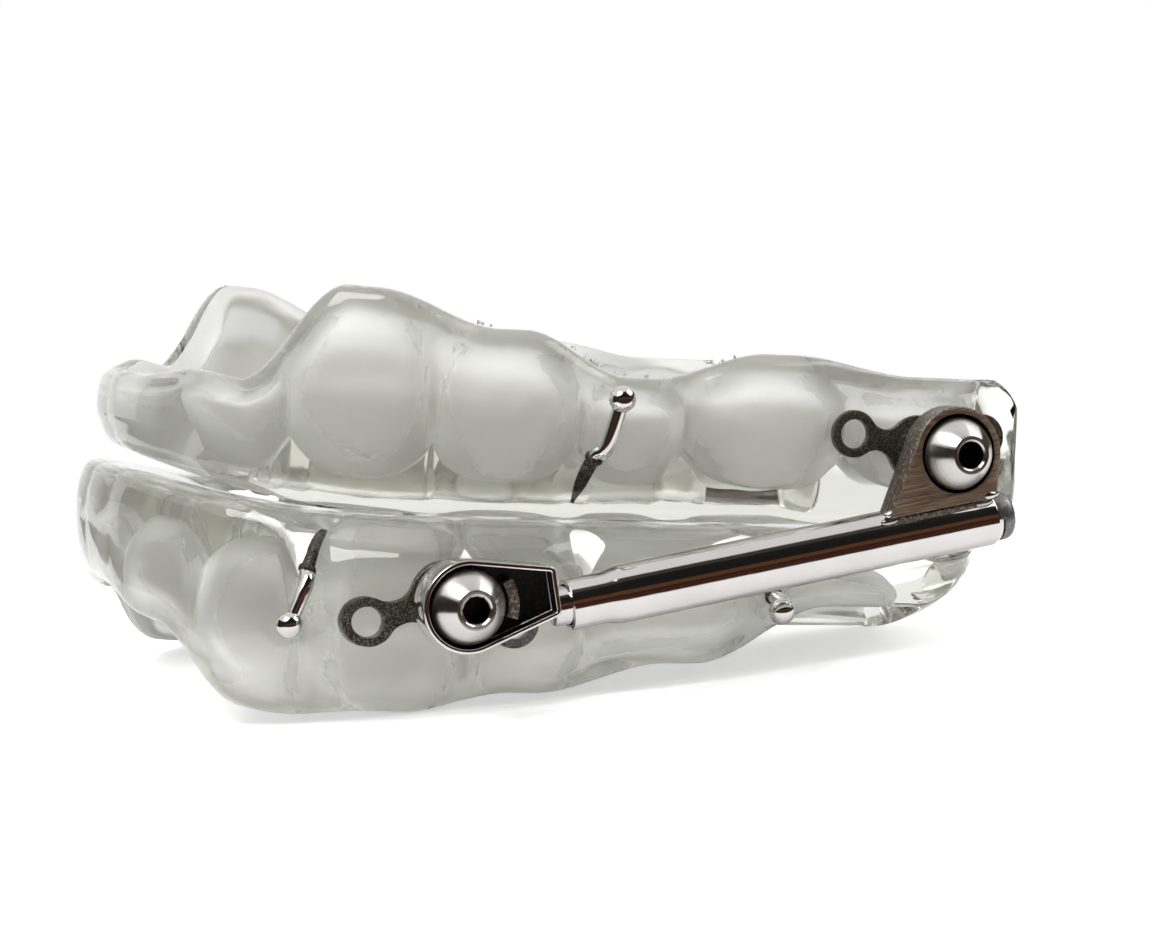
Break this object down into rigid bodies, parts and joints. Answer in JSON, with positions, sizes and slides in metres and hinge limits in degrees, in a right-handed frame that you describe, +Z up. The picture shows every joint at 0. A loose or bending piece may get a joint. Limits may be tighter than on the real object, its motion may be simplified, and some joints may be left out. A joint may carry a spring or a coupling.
{
  "type": "mandibular advancement splint",
  "caption": "Clear dental splint in two tooth-shaped trays, joined on each side by a pivoted telescope that holds the lower jaw forward.",
  "frame": {"origin": "middle of the bottom of the closed part's box, on the surface that the lower tray stands on", "axes": "+X towards the wearer's left, -Y towards the incisors, +Z up from the lower tray to the upper"},
  "size_m": [0.0648, 0.058, 0.0266],
  "materials": {
    "clear_acrylic": "clear, glossy outside, duller inside the imprints",
    "polished_steel": "polished",
    "satin_steel": "turned satin",
    "anchor_steel": "dark, grained, seen through the plastic",
    "plug_steel": "dark satin"
  },
  "bodies": {
    "lower_tray": {"lower_splint": "clear_acrylic", "left_lower_anchor": "anchor_steel", "left_lower_pivot_screw": "satin_steel", "left_lower_front_ball_hook": "polished_steel", "left_lower_rear_ball_clasp": "polished_steel", "right_lower_anchor": "anchor_steel", "right_lower_pivot_screw": "satin_steel", "right_lower_front_ball_hook": "polished_steel", "right_lower_rear_ball_clasp": "polished_steel"},
    "upper_tray": {"upper_splint": "clear_acrylic", "left_upper_anchor": "anchor_steel", "left_upper_pivot_screw": "satin_steel", "left_upper_ball_hook": "polished_steel", "right_upper_anchor": "anchor_steel", "right_upper_pivot_screw": "satin_steel", "right_upper_ball_hook": "polished_steel"},
    "left_rod": {"left_rod": "polished_steel"},
    "left_tube": {"left_tube": "polished_steel", "left_tube_end_plug": "plug_steel"},
    "right_rod": {"right_rod": "polished_steel"},
    "right_tube": {"right_tube": "polished_steel", "right_tube_end_plug": "plug_steel"}
  },
  "joints": [
    {"name": "left_lower_pivot", "type": "hinge", "parent": "lower_tray", "child": "left_rod", "pos_m": [0.0289, -0.01121, 0.00745], "axis": [1, 0, 0], "range_deg": [0, 37.05]},
    {"name": "left_telescope", "type": "slide", "parent": "left_rod", "child": "left_tube", "axis": [0, 0.9982, 0.0602], "range_m": [0, 0.016]},
    {"name": "left_upper_pivot", "type": "hinge", "parent": "left_tube", "child": "upper_tray", "pos_m": [0.0289, 0.02064, 0.01277], "axis": [-1, 0, 0], "range_deg": [0, 57]},
    {"name": "right_upper_pivot", "type": "hinge", "parent": "upper_tray", "child": "right_tube", "pos_m": [-0.0289, 0.02064, 0.01277], "axis": [1, 0, 0], "range_deg": [0, 57]},
    {"name": "right_telescope", "type": "slide", "parent": "right_tube", "child": "right_rod", "axis": [0, -0.9982, -0.0602], "range_m": [0, 0.016]}
  ],
  "couplings": [
    {"joint": "left_lower_pivot", "follows": "left_upper_pivot", "ratio": 0.65},
    {"joint": "right_upper_pivot", "follows": "left_upper_pivot", "ratio": 1},
    {"joint": "right_telescope", "follows": "left_telescope", "ratio": 1}
  ]
}
